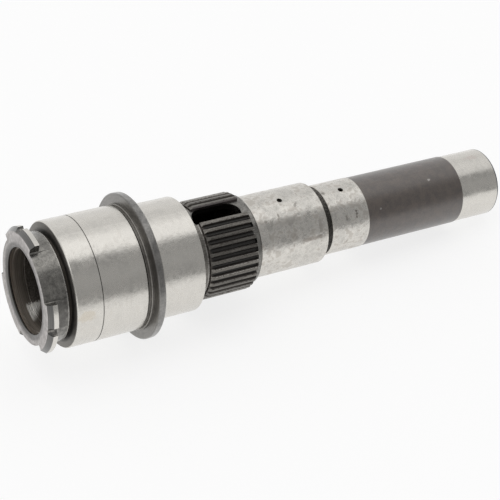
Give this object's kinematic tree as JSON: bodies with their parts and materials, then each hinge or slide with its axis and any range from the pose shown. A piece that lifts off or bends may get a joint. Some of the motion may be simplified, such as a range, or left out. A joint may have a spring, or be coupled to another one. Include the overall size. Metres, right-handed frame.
{
  "type": "gear shaft",
  "caption": "Hollow stepped gear shaft with ground bearing seats, a thrust collar, a splined band with an oil slot, and bayonet lugs round its open front end.",
  "frame": {"origin": "on the axis, at the front face at the lug end", "axes": "+Z along the axis from the lug end to the tail, +X out through the middle of the oil slot"},
  "size_m": [0.088, 0.088, 0.322],
  "materials": {
    "steel": "ground seats, darker turned and heat-treated surfaces between them"
  },
  "bodies": {
    "root": {"gear_shaft": "steel"}
  },
  "joints": []
}
